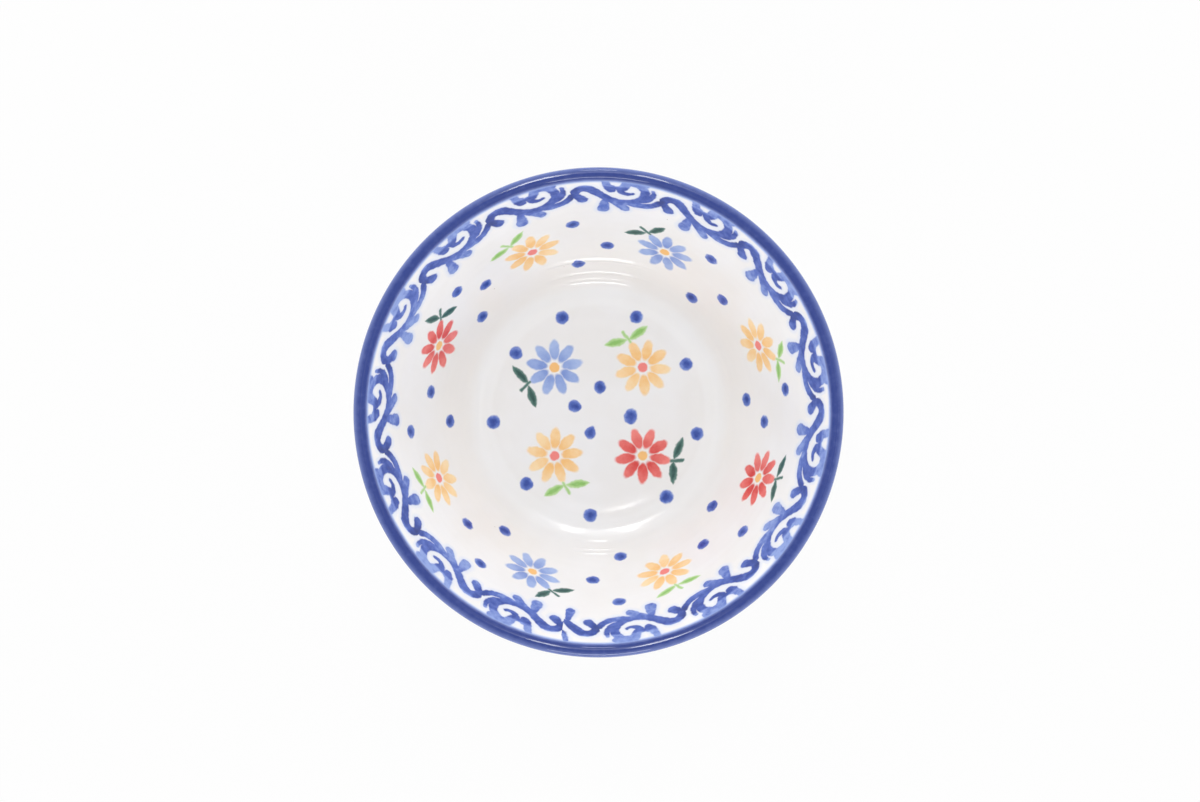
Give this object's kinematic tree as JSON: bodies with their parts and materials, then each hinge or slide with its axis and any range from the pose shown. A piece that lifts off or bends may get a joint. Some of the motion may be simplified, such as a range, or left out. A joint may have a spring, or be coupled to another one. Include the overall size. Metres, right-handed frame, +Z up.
{
  "type": "nesting bowl",
  "caption": "Round stoneware bowl with a flared wall, rolled lip, flat floor and bare foot ring; holds food and nests inside a larger bowl of the same shape.",
  "frame": {"origin": "centre of the foot ring on the surface that the bowl stands on", "axes": "+Z up along the bowl's axis of turning; X and Y lie in the resting plane and are alike"},
  "size_m": [0.15, 0.15, 0.064],
  "materials": {
    "fired_clay": "bare fired stoneware, matt and slightly gritty",
    "painted_glaze": "glossy off-white glaze over cobalt and coloured underglaze painting",
    "cobalt_glaze": "glossy cobalt blue band, lighter where it thins over the lip",
    "plain_glaze": "glossy off-white glaze"
  },
  "bodies": {
    "root": {"stoneware_body": "fired_clay", "inner_glaze": "painted_glaze", "rim_band": "cobalt_glaze", "outer_glaze": "plain_glaze", "base_glaze": "plain_glaze"}
  },
  "joints": []
}
